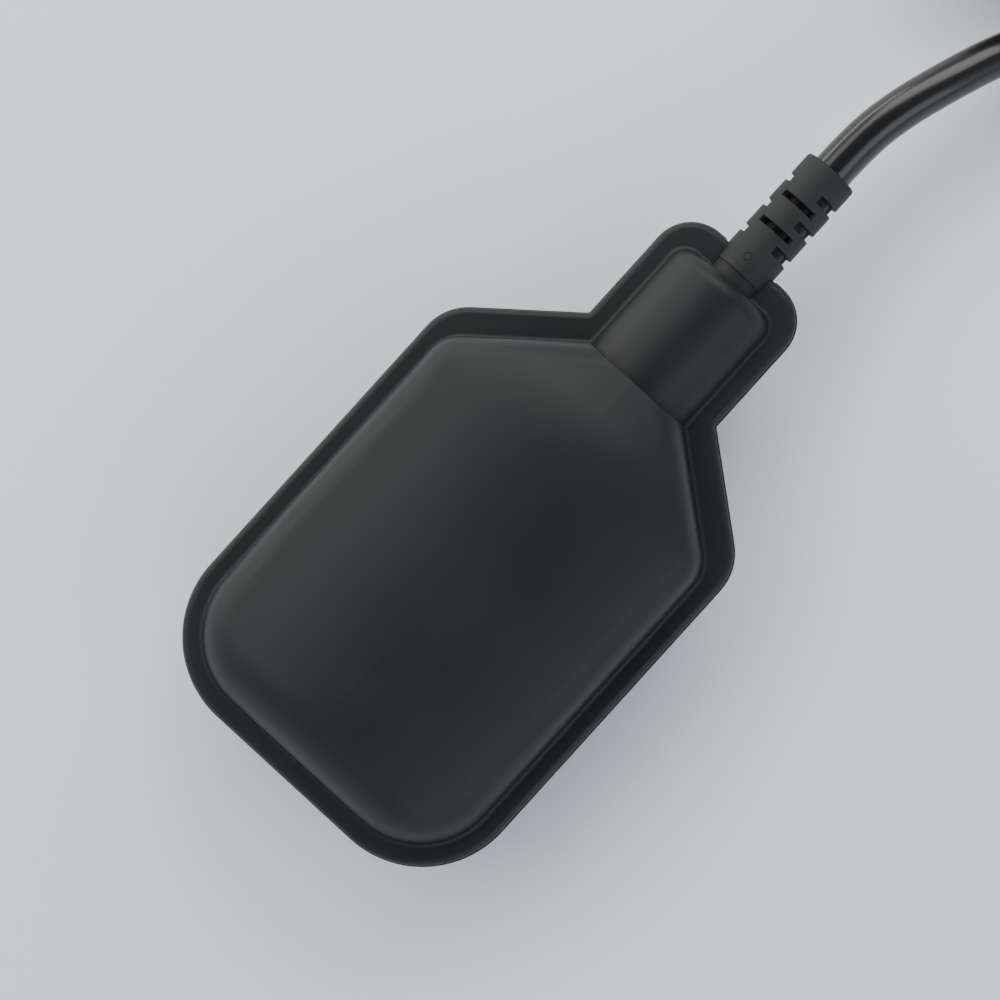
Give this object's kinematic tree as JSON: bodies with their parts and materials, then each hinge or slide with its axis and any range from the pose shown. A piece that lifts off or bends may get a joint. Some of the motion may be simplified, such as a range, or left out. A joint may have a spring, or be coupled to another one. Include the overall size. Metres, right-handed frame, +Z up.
{
  "type": "liquid level float switch",
  "caption": "Cable float level switch: a flat welded float with sloped shoulders, barrel neck, slotted strain relief and coiled lead; inside, a rolling ball works a snap switch.",
  "frame": {"origin": "under the middle of the float, on the surface that its belly rests on", "axes": "+X along the float towards the cable, +Y across it, +Z up through the weld plane"},
  "size_m": [0.3276, 0.1106, 0.0421],
  "materials": {
    "float_plastic": "moulded polypropylene, fine satin grain",
    "relief_rubber": "matte moulded rubber",
    "cable_rubber": "smooth glossy jacket",
    "potting_resin": "cast resin",
    "ring_brass": "turned",
    "carrier_plastic": "natural moulded plastic",
    "bright_steel": "zinc plated",
    "polished_steel": "ground and polished",
    "lever_plastic": "moulded acetal",
    "switch_plastic": "moulded thermoset",
    "cover_plastic": "moulded thermoset",
    "plunger_plastic": "moulded acetal",
    "terminal_brass": "stamped",
    "core_brown": "extruded insulation",
    "core_black": "extruded insulation",
    "core_blue": "extruded insulation",
    "strand_copper": "twisted bare strands",
    "tie_nylon": "moulded nylon"
  },
  "bodies": {
    "float": {"upper_shell": "float_plastic", "lower_shell": "float_plastic", "strain_relief": "relief_rubber", "resin_plug": "potting_resin", "grip_ring": "ring_brass", "cable_in_neck": "cable_rubber", "switch_carrier": "carrier_plastic", "carrier_lid": "carrier_plastic", "lever_pin": "bright_steel", "carrier_screws": "bright_steel", "switch_case": "switch_plastic", "switch_cover": "cover_plastic", "common_terminal": "terminal_brass", "open_terminal": "terminal_brass", "closed_terminal": "terminal_brass", "inner_core_brown": "core_brown", "inner_core_black": "core_black", "inner_core_blue": "core_blue", "cable_lead": "cable_rubber", "cable_coil": "cable_rubber", "coil_ties": "tie_nylon", "cable_tail": "cable_rubber", "tail_core_brown": "core_brown", "tail_core_black": "core_black", "tail_core_blue": "core_blue", "core_strands": "strand_copper"},
    "ball": {"steel_ball": "polished_steel"},
    "lever": {"cam_lever": "lever_plastic"},
    "plunger": {"switch_plunger": "plunger_plastic"},
    "arm": {"contact_arm": "terminal_brass"}
  },
  "joints": [
    {"name": "ball_roll", "type": "slide", "parent": "float", "child": "ball", "axis": [1, 0, 0], "range_m": [0, 0.02]},
    {"name": "lever_turn", "type": "hinge", "parent": "float", "child": "lever", "pos_m": [-0.048, 0.0025, 0.021], "axis": [0, 0, -1], "range_deg": [0, 3.5]},
    {"name": "plunger_press", "type": "slide", "parent": "float", "child": "plunger", "axis": [0, -1, 0], "range_m": [0, 0.00151], "stiffness_N_per_m": 60},
    {"name": "arm_swing", "type": "hinge", "parent": "float", "child": "arm", "pos_m": [-0.03245, -0.00055, 0.021], "axis": [0, 0, -1], "range_deg": [0, 9.55]}
  ],
  "couplings": [
    {"joint": "lever_turn", "follows": "ball_roll", "rad_per_m": 3.0543},
    {"joint": "plunger_press", "follows": "ball_roll", "ratio": 0.07549},
    {"joint": "arm_swing", "follows": "ball_roll", "rad_per_m": 8.3339}
  ]
}
